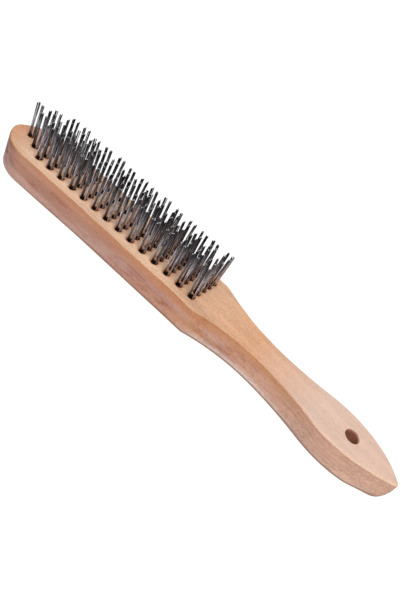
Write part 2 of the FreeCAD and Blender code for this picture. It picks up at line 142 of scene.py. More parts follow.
backFace, backFacePlace = mounts["back_face"], Vector((72.0, 0.0, 0.0))
restTilt = math.atan2(backFace["axis"][0], -backFace["axis"][2])
turnBlock = Matrix.Rotation(-restTilt, 4, "Y")
scaleBlock = Matrix.Scale(0.001, 4)  # millimetres to metres
mmPerMetre = (1000, 1000, 1000)
blockToFrame = Matrix.Translation(Vector(backFace["pos_m"])) @ turnBlock @ scaleBlock
blockToFrame = blockToFrame @ Matrix.Translation(-backFacePlace)
frameToBlock = blockToFrame.inverted()


def addBlockSpace(tree):
    # block millimetres (x from the tip, y across, z above the back) and the normal
    given = addNode(tree, "ShaderNodeTexCoord").outputs
    place = addNode(tree, "ShaderNodeMapping", given["Object"], frameToBlock.to_translation(),
                    frameToBlock.to_euler(), mmPerMetre)
    return place, addNode(tree, "ShaderNodeSeparateXYZ", given["Normal"]).outputs



# camera

cameraView = {
    "place": (0.08367, -0.26916, 0.23320),
    "aim": (0.00904, -0.00486, 0.0200),
    "roll": 33.36,  # degrees, turns the brush to lie down the picture's diagonal
    "lens": 39.3,
    "sensor": 36.0,
    "nearest": 0.01,  # metres; nothing closer than this is drawn
}
cameraData = bpy.data.cameras.new("camera")
cameraData.lens = cameraView["lens"]
cameraData.sensor_width = cameraView["sensor"]
cameraData.clip_start = cameraView["nearest"]
camera = bpy.data.objects.new("camera", cameraData)
bpy.context.scene.collection.objects.link(camera)
camera.location = cameraView["place"]
look = Vector(cameraView["aim"]) - Vector(cameraView["place"])
roll = Quaternion((0, 0, 1), math.radians(cameraView["roll"]))
camera.rotation_mode = "QUATERNION"
camera.rotation_quaternion = look.to_track_quat("-Z", "Y") @ roll
bpy.context.scene.camera = camera

# light: a white room, one large soft box above and a weaker one each side

lighting = {
    "room": ("#ffffff", 0.30),
    "boxes": [  # place, aim, side length in metres, watts
        ((0.20, -0.36, 0.78), (0.0, 0.0, 0.0), 0.70, 5.4),
        ((-0.55, -0.60, 0.35), (0.0, 0.0, 0.02), 0.50, 0.3),
        ((-0.25, 0.60, 0.55), (0.0, 0.0, 0.02), 0.50, 1.0),
    ],
}
world = bpy.data.worlds.new("room")
bpy.context.scene.world = world
world.use_nodes = True
background = world.node_tree.nodes["Background"]
background.inputs["Color"].default_value = hexColor(lighting["room"][0])
background.inputs["Strength"].default_value = lighting["room"][1]
for number, (place, aim, side, watts) in enumerate(lighting["boxes"], start=1):
    lampData = bpy.data.lights.new(f"softBox{number}", "AREA")
    lampData.shape = "SQUARE"
    lampData.size = side
    lampData.energy = watts
    lamp = bpy.data.objects.new(f"softBox{number}", lampData)
    lamp.location = place
    lamp.rotation_mode = "QUATERNION"
    lamp.rotation_quaternion = (Vector(aim) - Vector(place)).to_track_quat("-Z", "Y")
    bpy.context.scene.collection.objects.link(lamp)
bpy.context.scene.view_settings.view_transform = "Standard"
print("camera and lights set")

# floor: the matt diffuser of a light table, so that it takes no shadow

lightTable = {"side": 6.0, "color": "#6a6a6a", "glowColor": "#ffffff", "glow": 1.0, "roughness": 0.9}
floorMesh = bpy.data.meshes.new("floor")
half = lightTable["side"] / 2
corners = [(-half, -half, 0), (half, -half, 0), (half, half, 0), (-half, half, 0)]
floorMesh.from_pydata(corners, [], [(0, 1, 2, 3)])
floor = bpy.data.objects.new("floor", floorMesh)
bpy.context.scene.collection.objects.link(floor)
# opal acrylic, finely matt: an even white with no reflections
diffuserMaterial, _, diffuserShader = startMaterial("lightTableDiffuser")
diffuser = diffuserShader.inputs
diffuser["Base Color"].default_value = hexColor(lightTable["color"])
diffuser["Roughness"].default_value = lightTable["roughness"]
diffuser["Specular IOR Level"].default_value = 0.0
diffuser["Emission Color"].default_value = hexColor(lightTable["glowColor"])
diffuser["Emission Strength"].default_value = lightTable["glow"]
floorMesh.materials.append(diffuserMaterial)


# wooden block

woodBlock = {
    "length": 289.0, "headWidth": 37.0, "thickness": 19.2,
    "noseRadius": 8.0, "cheekRadius": 26.0, "shoulderRadius": 8.0,
    "waistPlace": 201.0, "waistWidth": 19.8,
    "hollowFront": 118.0, "hollowBack": 190.0,
    "bellyPlace": 250.3, "bellyWidth": 29.0, "endRadius": 2.0,
    "faceBend": (122.0, 780.0, 8.2, 290.0),  # start, radius, and drop at this place
    "backBend": (141.0, 940.0, 7.5, 290.0),
    "faceEdge": 1.2,  # edge rounding of the bristle face
    "backEdge": (2.2, 4.5, 20.0, 85.0),  # of the back: head, grip, and between where
    "endRound": (8.5, 24.0, 4.0),  # heel of the grip: runs back, starts, spares the top
    "endSkew": (1.8, 18.0),  # the pointed end is sanded a little to one side
    "endRoom": 0.55,  # most of the pointed end's half width that the back edge takes
    "step": 1.5,  # between stations along the outline
    "cellsAcross": 24,
    "rings": (5, 7, 8),  # steps down the face's edge, the wall and the back edge
    "support": (0.4, 0.04, 1.1),  # extra rings that keep the edges crisp
    "edgeWander": (0.30, 9.0),  # hand sanding: the edge is rounder in places this long
    "surfaceWander": (0.07, 22.0, 14.0),  # slow waviness of the sides: how much, along, down
}


def arcRun(center, radius, start, end, step):
    # points on an arc from start to end, without the last one
    first = math.atan2(start[1] - center[1], start[0] - center[0])
    last = math.atan2(end[1] - center[1], end[0] - center[0])
    sweep = (last - first + math.pi) % (2 * math.pi) - math.pi
    count = max(3, math.ceil(abs(sweep) * radius / step))
    angles = [first + sweep * i / count for i in range(count)]
    return [(center[0] + radius * math.cos(a), center[1] + radius * math.sin(a)) for a in angles]


def towards(start, end, distance):
    run = math.hypot(end[0] - start[0], end[1] - start[1])
    return tuple(s + (e - s) * distance / run for s, e in zip(start, end))


def blockOutline(b):
    # one side of the outline, tip to end, as a chain of tangent arcs
    head, waist, belly = b["headWidth"] / 2, b["waistWidth"] / 2, b["bellyWidth"] / 2
    nose = (b["noseRadius"], 0.0)
    gap = b["cheekRadius"] - b["noseRadius"]
    drop = head - b["cheekRadius"]
    cheek = (nose[0] + math.sqrt(gap ** 2 - drop ** 2), drop)
    hollowFront = (b["waistPlace"], waist + b["hollowFront"])
    hollowBack = (b["waistPlace"], waist + b["hollowBack"])
    reach = b["shoulderRadius"] + b["hollowFront"]
    shoulderY = head - b["shoulderRadius"]
    shoulderX = b["waistPlace"] - math.sqrt(reach ** 2 - (hollowFront[1] - shoulderY) ** 2)
    shoulder = (shoulderX, shoulderY)
    endCenter = (b["length"] - b["endRadius"], 0.0)
    # the belly is two arcs that meet at its widest point
    run = b["bellyPlace"] - b["waistPlace"]
    gap = waist + b["hollowBack"] - belly
    bellyFront = (run ** 2 + gap ** 2 - b["hollowBack"] ** 2) / 2 / (b["hollowBack"] - gap)
    run = endCenter[0] - b["bellyPlace"]
    gap = belly - b["endRadius"]
    bellyBack = (run ** 2 / gap + belly + b["endRadius"]) / 2
    frontCenter = (b["bellyPlace"], belly - bellyFront)
    backCenter = (b["bellyPlace"], belly - bellyBack)

    noseEnd = towards(cheek, nose, b["cheekRadius"])
    cheekEnd, shoulderStart = (cheek[0], head), (shoulder[0], head)
    shoulderEnd = towards(shoulder, hollowFront, b["shoulderRadius"])
    waistPoint = (b["waistPlace"], waist)
    hollowEnd = towards(hollowBack, frontCenter, b["hollowBack"])
    widest = (b["bellyPlace"], belly)
    bellyEnd = towards(backCenter, endCenter, bellyBack)
    tip, end = (0.0, 0.0), (b["length"], 0.0)
    step = b["step"]
    points = arcRun(nose, b["noseRadius"], tip, noseEnd, step / 2)
    points += arcRun(cheek, b["cheekRadius"], noseEnd, cheekEnd, step)
    straight = math.ceil((shoulderStart[0] - cheekEnd[0]) / step)
    points += [towards(cheekEnd, shoulderStart, (shoulderStart[0] - cheekEnd[0]) * i / straight)
               for i in range(straight)]
    points += arcRun(shoulder, b["shoulderRadius"], shoulderStart, shoulderEnd, step / 2)
    points += arcRun(hollowFront, b["hollowFront"], shoulderEnd, waistPoint, step)
    points += arcRun(hollowBack, b["hollowBack"], waistPoint, hollowEnd, step)
    points += arcRun(frontCenter, bellyFront, hollowEnd, widest, step)
    points += arcRun(backCenter, bellyBack, widest, bellyEnd, step)
    points += arcRun(endCenter, b["endRadius"], bellyEnd, end, step / 2)
    return points + [end]


def bentLevel(x, level, bend):
    # height of a face that is flat, bends on an arc and then runs straight
    start, radius, drop, place = bend
    run = place - start
    turn = math.atan2(run, radius - drop) - math.acos(radius / math.hypot(run, radius - drop))
    arcEnd = start + radius * math.sin(turn)
    if x <= start:
        return level
    if x <= arcEnd:
        return level - radius + math.sqrt(radius ** 2 - (x - start) ** 2)
    return level - radius * (1 - math.cos(turn)) - (x - arcEnd) * math.tan(turn)


def easeIn(value, start, end):
    share = min(max((value - start) / (end - start), 0.0), 1.0)
    return share * share * (3 - 2 * share)


def buildBlockMesh(b):
    side = blockOutline(b)
    last = len(side) - 1
    loop = side + [(x, -y) for x, y in reversed(side[1:-1])]
    count = len(loop)
    normals = []
    for i in range(count):
        before, after = loop[i - 1], loop[(i + 1) % count]
        normals.append(Vector((before[1] - after[1], after[0] - before[0], 0)).normalized())
    faceLevel, faceBend, backBend = b["thickness"], b["faceBend"], b["backBend"]

    def shaped(point):
        # the heel of the grip is rounded off, and its end sanded to one side
        x, y, z = point
        amount, reach, spared = b["endRound"]
        top, bottom = bentLevel(x, faceLevel, faceBend), bentLevel(x, 0.0, backBend)
        deep = min(max((top - spared - z) / (top - spared - bottom), 0.0), 1.0)
        near = easeIn(x, b["length"] - reach, b["length"])
        skew = max(0.0, (x - b["length"]) / b["endSkew"][1] + 1)
        x -= amount * near * (1 - math.sqrt(1 - deep * deep))
        return (x, y - b["endSkew"][0] * skew * skew, z)

    def ringPoint(i, inset, level, bend, depth, wander):
        x, y = loop[i]
        shift = wave * wander * noise.noise(Vector((x / along, y / along, depth / down + 5)))
        x, y = x - normals[i].x * (inset - shift), y - normals[i].y * (inset - shift)
        return (x, y, bentLevel(x, level, bend) + depth)

    # rings of the wall, from the bristle face down to the back
    wave, along, down = b["surfaceWander"]
    faceSteps, wallSteps, backSteps = b["rings"]
    support, nearEdge, backSupport = b["support"]
    rings = []
    edgeWander, edgeAlong = b["edgeWander"]
    edges = [b["faceEdge"] * (1 + edgeWander * noise.noise(Vector((x / edgeAlong, y / edgeAlong, 2.5))))
             for x, y in loop]
    headEdge, gripEdge, fromX, toX = b["backEdge"]
    heels = [headEdge + (gripEdge - headEdge) * easeIn(x, fromX, toX) for x, y in loop]
    insets = [min(h, b["endRoom"] * max(abs(y), b["endRadius"])) if x > b["bellyPlace"] else h
              for h, (x, y) in zip(heels, loop)]
    top, bottom = (faceLevel, faceBend), (0.0, backBend)
    rings.append([ringPoint(i, edges[i] + support, *top, 0.0, 0.0) for i in range(count)])
    for k in range(faceSteps + 1):
        a = k / faceSteps * math.pi / 2
        rings.append([ringPoint(i, edges[i] * (1 - math.sin(a)), *top,
                                -edges[i] * (1 - math.cos(a)), math.sin(a))
                      for i in range(count)])
    wallTop = rings[-1]
    wallBottom = [ringPoint(i, 0.0, *bottom, heels[i], 1.0) for i in range(count)]
    shares = [nearEdge] + [k / wallSteps for k in range(1, wallSteps)] + [1 - nearEdge]
    for share in shares:
        rings.append([tuple(t + (u - t) * share for t, u in zip(wallTop[i], wallBottom[i]))
                      for i in range(count)])
    for k in range(backSteps + 1):
        a = k / backSteps * math.pi / 2
        rings.append([ringPoint(i, insets[i] * (1 - math.cos(a)), *bottom,
                                heels[i] * (1 - math.sin(a)), math.cos(a))
                      for i in range(count)])
    rings.append([ringPoint(i, insets[i] * backSupport, *bottom, 0.0, 0.0) for i in range(count)])

    points = [p for ring in rings for p in ring]
    faces = []
    for r in range(len(rings) - 1):
        for i in range(count):
            j = (i + 1) % count
            faces.append((r * count + i, r * count + j,
                          (r + 1) * count + j, (r + 1) * count + i))

    def capFaces(ring, level, bend, facesUp):
        # rungs across between the two sides, and one point at each end
        start = ring * count
        rungs = [[start]]
        for i in range(1, last):
            left, right = rings[ring][i], rings[ring][count - i]
            rung = [start + i]
            for k in range(1, b["cellsAcross"]):
                share = k / b["cellsAcross"]
                x = left[0] + (right[0] - left[0]) * share
                y = left[1] + (right[1] - left[1]) * share
                rung.append(len(points))
                points.append((x, y, bentLevel(x, level, bend)))
            rungs.append(rung + [start + count - i])
        rungs.append([start + last])
        made = []
        for one, two in zip(rungs, rungs[1:]):
            for k in range(max(len(one), len(two)) - 1):
                if len(one) == 1:
                    quad = (one[0], two[k], two[k + 1])
                elif len(two) == 1:
                    quad = (one[k], two[0], one[k + 1])
                else:
                    quad = (one[k], two[k], two[k + 1], one[k + 1])
                made.append(tuple(reversed(quad)) if facesUp else quad)
        return made

    faces += capFaces(0, *top, True)
    faces += capFaces(len(rings) - 1, *bottom, False)
    mesh = bpy.data.meshes.new("blockBlank")
    mesh.from_pydata([shaped(p) for p in points], [], faces)
    mesh.validate()
    return mesh


blockBlank = buildBlockMesh(woodBlock)
print("block blank:", len(blockBlank.polygons), "faces")

# tuft holes and hanging hole, cut by Geometry Nodes

holes = {
    "First Column": 12.0, "Column Pitch": 9.19, "Row Pitch": 5.3,
    "Columns": 16, "Rows": 5,
    "Hole Radius": 2.1, "Hole Depth": 12.0,
    "Mouth Flare": 0.16,  # the drill leaves the mouth a little wider
    "Mouth Tear": 0.12,  # torn fibres make it uneven
    "Seed": 11,
}
hanging = mounts["hanging_hole"]
hangAxis = Vector(hanging["axis"])
hangInBlock = frameToBlock @ Vector(hanging["pos_m"])
hangTurn = (turnBlock.inverted() @ hangAxis).to_track_quat("Z", "Y").to_euler()
holes["Hang Place"] = hangInBlock
holes["Hang Turn"] = Vector(hangTurn)
holes["Hang Radius"] = hanging["dims"]["r_mm"]
holes["Hang Length"] = hanging["dims"]["length_mm"]
holes["Rim Break"] = 0.45  # sanded rim of the hanging hole


def buildHoleTree():
    tree, given = startTree("drilledHoles", {
        "Geometry": "Geometry", "Material": "Material",
        "First Column": "Float", "Column Pitch": "Float", "Row Pitch": "Float",
        "Columns": "Int", "Rows": "Int", "Face Height": "Float",
        "Hole Radius": "Float", "Hole Depth": "Float",
        "Mouth Flare": "Float", "Mouth Tear": "Float", "Seed": "Int",
        "Hang Place": "Vector", "Hang Turn": "Vector",
        "Hang Radius": "Float", "Hang Length": "Float", "Rim Break": "Float",
    })
    calc, vector, compare = "ShaderNodeMath", "ShaderNodeVectorMath", "FunctionNodeCompare"
    combine, move = "ShaderNodeCombineXYZ", "GeometryNodeSetPosition"
    drillSides, hangSides, hangCuts = 24, 56, 20

    # the grid of hole centres; the first two columns have one and three holes
    spacesAlong = addNode(tree, calc, given["Columns"], 1, **minus)
    spacesAcross = addNode(tree, calc, given["Rows"], 1, **minus)
    lengthAll = addNode(tree, calc, spacesAlong, given["Column Pitch"], **times)
    widthAll = addNode(tree, calc, spacesAcross, given["Row Pitch"], **times)
    grid = addNode(tree, "GeometryNodeMeshGrid", lengthAll, widthAll, given["Columns"], given["Rows"])
    place = addNode(tree, "GeometryNodeInputPosition")
    parts = addNode(tree, "ShaderNodeSeparateXYZ", place).outputs
    halfLength = addNode(tree, calc, lengthAll, 0.5, **times)
    fromStart = addNode(tree, calc, parts["X"], halfLength)
    column = addNode(tree, calc, fromStart, given["Column Pitch"], operation="DIVIDE")
    aside = addNode(tree, calc, parts["Y"], operation="ABSOLUTE")
    row = addNode(tree, calc, aside, given["Row Pitch"], operation="DIVIDE")
    rowLimit = addNode(tree, calc, column, 0.5)
    outside = addNode(tree, compare, row, rowLimit, operation="GREATER_THAN")
    centers = addNode(tree, "GeometryNodeDeleteGeometry", grid, outside)

    # one drill: a cylinder whose top ring stands over the face and is wider
    above, flareDepth = 0.5, 0.8
    drillLength = addNode(tree, calc, given["Hole Depth"], above)
    halfDrill = addNode(tree, calc, drillLength, 0.5, **times)
    drill = addNode(tree, "GeometryNodeMeshCylinder", Vertices=drillSides, Side_Segments=2,
                    Radius=given["Hole Radius"], Depth=drillLength)
    middleUp = addNode(tree, calc, halfDrill, above + flareDepth, **minus)
    fromMiddle = addNode(tree, calc, parts["Z"], operation="ABSOLUTE")
    middle = addNode(tree, compare, fromMiddle, 0.1, operation="LESS_THAN")
    drill = addNode(tree, move, drill, middle, Offset=addNode(tree, combine, Z=middleUp))
    drills = addNode(tree, "GeometryNodeInstanceOnPoints", centers, Instance=drill)
    sunk = addNode(tree, calc, halfDrill, above, **minus)
    drillZ = addNode(tree, calc, given["Face Height"], sunk, **minus)
    drillX = addNode(tree, calc, given["First Column"], halfLength)
    drills = addNode(tree, "GeometryNodeTranslateInstances", drills, Local_Space=False,
                     Translation=addNode(tree, combine, X=drillX, Z=drillZ))
    # remember each drill's axis, then tear the mouth outwards from it
    drills = addNode(tree, "GeometryNodeStoreNamedAttribute", drills, Name="drillAxis", Value=place,
                     data_type="FLOAT_VECTOR", domain="INSTANCE")
    drills = addNode(tree, "GeometryNodeRealizeInstances", drills)
    axis = addNode(tree, "GeometryNodeInputNamedAttribute", "drillAxis", data_type="FLOAT_VECTOR")
    away = addNode(tree, vector, place, axis, **minus)
    away = addNode(tree, vector, away, (1, 1, 0), **times)
    away = addNode(tree, vector, away, operation="NORMALIZE")
    leastTear = addNode(tree, calc, given["Mouth Flare"], given["Mouth Tear"], **minus)
    mostTear = addNode(tree, calc, given["Mouth Flare"], given["Mouth Tear"])
    tear = addNode(tree, "FunctionNodeRandomValue", leastTear, mostTear, Seed=given["Seed"])
    overFace = addNode(tree, compare, parts["Z"], given["Face Height"], operation="GREATER_THAN")
    widen = addNode(tree, vector, away, Scale=tear, operation="SCALE")
    drills = addNode(tree, move, drills, overFace, Offset=widen)

    # the hanging hole: a long drill, wider where it leaves the wood
    over = 1.0
    hangDepth = addNode(tree, calc, given["Hang Length"], 2 * over)
    hang = addNode(tree, "GeometryNodeMeshCylinder", Vertices=hangSides, Side_Segments=hangCuts,
                   Radius=given["Hang Radius"], Depth=hangDepth)
    halfHang = addNode(tree, calc, given["Hang Length"], 0.5, **times)
    breakStart = addNode(tree, calc, halfHang, given["Rim Break"], **minus)
    pastBreak = addNode(tree, calc, fromMiddle, breakStart, **minus)
    pastBreak = addNode(tree, calc, pastBreak, 0.0, operation="MAXIMUM")
    flare = addNode(tree, calc, pastBreak, given["Hang Radius"], operation="DIVIDE")
    grown = addNode(tree, vector, place, (1, 1, 0), **times)
    grown = addNode(tree, vector, grown, Scale=flare, operation="SCALE")
    hang = addNode(tree, move, hang, Offset=grown)
    hang = addNode(tree, "GeometryNodeTransform", hang, Translation=given["Hang Place"],
                   Rotation=given["Hang Turn"])

    cutters = addNode(tree, "GeometryNodeJoinGeometry", drills)
    tree.links.new(hang.outputs[0], cutters.inputs[0])
    cut = addNode(tree, "GeometryNodeMeshBoolean", given["Geometry"], Mesh_2=cutters,
                  operation="DIFFERENCE", solver="EXACT")
    smooth = addNode(tree, "GeometryNodeSetShadeSmooth", cut, domain="FACE")
    # crisp rims where a drill went in
    crisp = addNode(tree, "GeometryNodeSetShadeSmooth", smooth, cut.outputs["Intersecting Edges"],
                    False, domain="EDGE")
    whole = addNode(tree, "GeometryNodeRealizeInstances", crisp)
    painted = addNode(tree, "GeometryNodeSetMaterial", whole, Material=given["Material"])
    addNode(tree, "NodeGroupOutput", painted)
    return tree


beechLook = {
    "faceAlong": [  # millimetres from the tip, colour of the bristle face; paler along the tufted head, partly painted light against the tufts' shadow
        (0, "#e2a27c"), (25, "#fdd4b4"), (125, "#fbd0b0"), (155, "#eabb98"), (190, "#e2ac86"),
        (235, "#efcdba"), (289, "#efcbb6")],
    # the sides are darker and redder than the face, partly the wood's own colour and partly painted
    # shade; the dark tip in this ramp and the next is painted shade
    "sideAlong": [
        (0, "#553529"), (12, "#745042"), (24, "#b07f6a"), (110, "#b98b7a"), (165, "#c8906f"),
        (205, "#cb9c85"), (240, "#c59c89"), (289, "#d6ac95")],
    "upperAlong": [  # the same for the strip of the sides under the edge
        (0, "#654335"), (12, "#845b46"), (26, "#b88267"), (150, "#c2835c"), (215, "#be8863"),
        (245, "#c69a85"), (289, "#d6ac95")],
    "lowSide": "#ead8ce",  # painted light thrown up by the floor: greyer and paler towards the back, from the neck on
    "edgeAlong": [
        (0, "#cc9064"), (150, "#b67848"), (215, "#bc8050"), (245, "#f4d0b2"), (289, "#f4d0b2")],
    "redPatch": "#9c5444", "palePatch": "#b2938c", "endGrain": "#7a5241",
    "backRim": "#7c5543",  # painted shade on the rounding of the back, where it turns down to the floor
    "fibre": "#ae7450", "fleck": "#b07450", "growthLine": "#9c6854",
    # painted shade: orange-brown round each tuft hole and near black down its wall
    "holeStain": "#c67a48", "holeWall": "#2c1a10",
    "hangWall": "#985a42",
    "specular": 0.25,  # raw wood hardly shines
    "bump": (0.4, 0.0003, -1.2),  # strength, metres, and how far flecks sink
    "grain": {  # along and across the grain in millimetres, detail, roughness
        "bands": (55.0, 5.0, 3.0, 0.55),
        "fibres": (3.2, 0.5, 3.0, 0.65),  # real ones are finer: this is as fine as shows
        "mottle": (1.2, 0.8, 2.0, 0.6),
        "patches": (18.0, 7.0, 3.0, 0.6),
    },
    "fleckSize": (1.8, 0.6),  # rays cut across show as short flecks
    "lineSpacing": 2.6,  # growth lines on the sides of the grip
    "lineSway": (3.2, 6.0),  # short and long wandering of these lines
    "neckStart": 150.0,  # the back falls away from here
    "sideFibre": 0.9,  # fibres show this much more on the sides
    "gripCalm": 0.5,  # and this much less on the face of the grip, rubbed smooth
    "stainUneven": 2.4,
    "holeDark": (0.35, 0.15, 0.9),  # painted shade in the holes: beyond the radius, and between these depths
    "hangDark": (-0.1, 0.5, 0.75),  # from and to beside the rim, and how much
    "ramps": {  # input from and to, output from and to
        "side": (0.25, 0.92, 1.0, 0.0),  # by how far the surface looks up or down
        "end": (0.80, 0.99, 0.0, 0.6),  # by how far it looks along the grain
        "grip": (165.0, 245.0, 0.0, 1.0),  # by millimetres from the tip
        "red": (0.48, 0.62, 0.0, 0.60),
        "pale": (0.47, 0.60, 0.0, 0.58),
        "upper": (11.5, 16.5, 0.0, 0.8),  # by millimetres above the back
        "low": (9.0, 4.0, 0.0, 1.0),
        "lowNeck": (150.0, 180.0, 0.08, 0.85),
        "lowGrip": (200.0, 235.0, 1.0, 0.25),
        "line": (0.35, 1.0, 0.0, 0.26),
        "edgeUp": (0.10, 0.50, 0.0, 1.0),
        "edgeFlat": (0.80, 0.98, 0.90, 0.0),
        "edgeWorn": (0.30, 0.62, 0.45, 1.0),
        "rimDown": (-0.05, -0.40, 0.0, 0.85),
        "rimUnder": (-0.90, -0.995, 1.0, 0.0),
        "fibre": (0.48, 0.66, 0.0, 0.26),
        "shade": (0.70, 1.30, -0.20, 0.20),
        "inFleck": (0.10, 0.36, 0.24, 0.0),
        "someFlecks": (0.50, 0.70, 0.0, 1.0),
        "stain": (3.2, 5.0, 0.75, 0.0),  # by millimetres from a hole's centre
        "gloss": (0.0, 1.0, 0.50, 0.74),
    },
}


def buildBeech(look, b, h):
    # Beech, planed and sanded, left raw: pale pinkish tan with short brown
    # flecks along the grain, soft growth bands, and redder sides and end grain.
    material, tree, shader = startMaterial("sandedBeech")
    calc, ease, blend = "ShaderNodeMath", "ShaderNodeMapRange", "ShaderNodeMix"
    ramps = look["ramps"]
    blockPlace, normal = addBlockSpace(tree)
    parts = addNode(tree, "ShaderNodeSeparateXYZ", blockPlace).outputs

    grain = {}
    for name, (along, across, detail, roughness) in look["grain"].items():
        stretched = addNode(tree, "ShaderNodeMapping", blockPlace,
                            Scale=(1 / along, 1 / across, 1 / across))
        grain[name] = addNode(tree, "ShaderNodeTexNoise", stretched, 1.0, detail, roughness)
    alongShare = addNode(tree, calc, parts["X"], b["length"], operation="DIVIDE")
    tones = {}
    for name in ("faceAlong", "sideAlong", "upperAlong", "edgeAlong"):
        ramp = addNode(tree, "ShaderNodeValToRGB", alongShare)
        stops = ramp.color_ramp.elements
        while len(stops) < len(look[name]):
            stops.new(1.0)
        for stop, (place, color) in zip(stops, look[name]):
            stop.position, stop.color = place / b["length"], hexColor(color)
        tones[name] = ramp

    # which way the surface looks, and how far back along the grip it is
    sideways = addNode(tree, calc, normal["Z"], operation="ABSOLUTE")
    sideShare = addNode(tree, ease, sideways, *ramps["side"], **softly)
    endways = addNode(tree, calc, normal["X"], operation="ABSOLUTE")
    endShare = addNode(tree, ease, endways, *ramps["end"], **softly)
    gripShare = addNode(tree, ease, parts["X"], *ramps["grip"], **softly)
    headShare = addNode(tree, calc, 1.0, gripShare, **minus)
    endShare = addNode(tree, calc, endShare, headShare, **times)
    backFall = addNode(tree, ease, parts["X"], look["neckStart"], b["length"], 0.0, b["backBend"][2])
    height = addNode(tree, calc, parts["Z"], backFall)

    # the sides: red patches, growth lines on the grip and a greyer low band of painted light from the
    # floor
    redShare = addNode(tree, ease, grain["patches"], *ramps["red"], **softly)
    redShare = addNode(tree, calc, redShare, headShare, **times)
    side = addNode(tree, blend, redShare, tones["sideAlong"], hexColor(look["redPatch"]), **inColor)
    paleShare = addNode(tree, ease, grain["bands"], *ramps["pale"], **softly)
    paleShare = addNode(tree, calc, paleShare, headShare, **times)
    side = addNode(tree, blend, paleShare, side, hexColor(look["palePatch"]), **inColor)
    upperShare = addNode(tree, ease, height, *ramps["upper"], **softly)
    side = addNode(tree, blend, upperShare, side, tones["upperAlong"], **inColor)
    # painted light from the floor on the low band of the sides
    bounceLightShare = addNode(tree, ease, height, *ramps["low"], **softly)
    for name in ("lowNeck", "lowGrip"):
        here = addNode(tree, ease, parts["X"], *ramps[name])
        bounceLightShare = addNode(tree, calc, bounceLightShare, here, **times)
    side = addNode(tree, blend, bounceLightShare, side, hexColor(look["lowSide"]), **inColor)
    shortSway, longSway = look["lineSway"]
    sway = addNode(tree, calc, grain["patches"], shortSway, height, operation="MULTIPLY_ADD")
    sway = addNode(tree, calc, grain["bands"], longSway, sway, operation="MULTIPLY_ADD")
    lineAngle = addNode(tree, calc, sway, 2 * math.pi / look["lineSpacing"], **times)
    line = addNode(tree, calc, lineAngle, operation="SINE")
    lineShare = addNode(tree, ease, line, *ramps["line"], **softly)
    lineShare = addNode(tree, calc, lineShare, gripShare, **times)
    side = addNode(tree, blend, lineShare, side, hexColor(look["growthLine"]), **inColor)

    # face and side meet at the rounded edge, which takes its own colour in patches: darker along the
    # head, paler along the grip
    # the darker side colours hold painted shade as well as the wood's own colour
    wood = addNode(tree, blend, sideShare, tones["faceAlong"], side, **inColor)
    wood = addNode(tree, blend, endShare, wood, hexColor(look["endGrain"]), **inColor)
    turn = {name: addNode(tree, ease, normal["Z"], *ramps[name], **softly)
            for name in ("edgeUp", "edgeFlat", "rimDown", "rimUnder")}
    edgePatches = addNode(tree, ease, grain["patches"], *ramps["edgeWorn"])
    edgeShare = addNode(tree, calc, turn["edgeUp"], turn["edgeFlat"], **times)
    edgeShare = addNode(tree, calc, edgeShare, edgePatches, **times)
    wood = addNode(tree, blend, edgeShare, wood, tones["edgeAlong"], **inColor)
    # painted shade on the rounding of the back that faces down
    rimShadeShare = addNode(tree, calc, turn["rimDown"], turn["rimUnder"], **times)
    wood = addNode(tree, blend, rimShadeShare, wood, hexColor(look["backRim"]), **inColor)

    # fibres darken it, mottling and growth bands shade it both ways
    fibreShare = addNode(tree, ease, grain["fibres"], *ramps["fibre"], **softly)
    sideFibre = addNode(tree, calc, sideShare, look["sideFibre"], 1.0, operation="MULTIPLY_ADD")
    fibreShare = addNode(tree, calc, fibreShare, sideFibre, **times)
    calm = addNode(tree, calc, sideShare, -look["gripCalm"], look["gripCalm"], operation="MULTIPLY_ADD")
    calm = addNode(tree, calc, calm, gripShare, **times)
    lively = addNode(tree, calc, 1.0, calm, **minus)
    fibreShare = addNode(tree, calc, fibreShare, lively, **times)
    wood = addNode(tree, blend, fibreShare, wood, hexColor(look["fibre"]), **inColor)
    shades = addNode(tree, calc, grain["mottle"], grain["bands"])
    brightness = addNode(tree, ease, shades, *ramps["shade"])
    brightness = addNode(tree, calc, brightness, lively, 1.0, operation="MULTIPLY_ADD")
    wood = addNode(tree, "ShaderNodeHueSaturation", Color=wood, Value=brightness)

    # flecks: small stretched cells, only some of them filled
    stretched = addNode(tree, "ShaderNodeMapping", blockPlace, Scale=(
        1 / look["fleckSize"][0], 1 / look["fleckSize"][1], 1 / look["fleckSize"][1]))
    cells = addNode(tree, "ShaderNodeTexVoronoi", stretched, 1.0)
    inCell = addNode(tree, ease, cells.outputs["Distance"], *ramps["inFleck"], **softly)
    chance = addNode(tree, "ShaderNodeSeparateColor", cells.outputs["Color"])
    chosen = addNode(tree, ease, chance, *ramps["someFlecks"], **softly)
    fleckShare = addNode(tree, calc, inCell, chosen, **times)
    wood = addNode(tree, blend, fleckShare, wood, hexColor(look["fleck"]), **inColor)
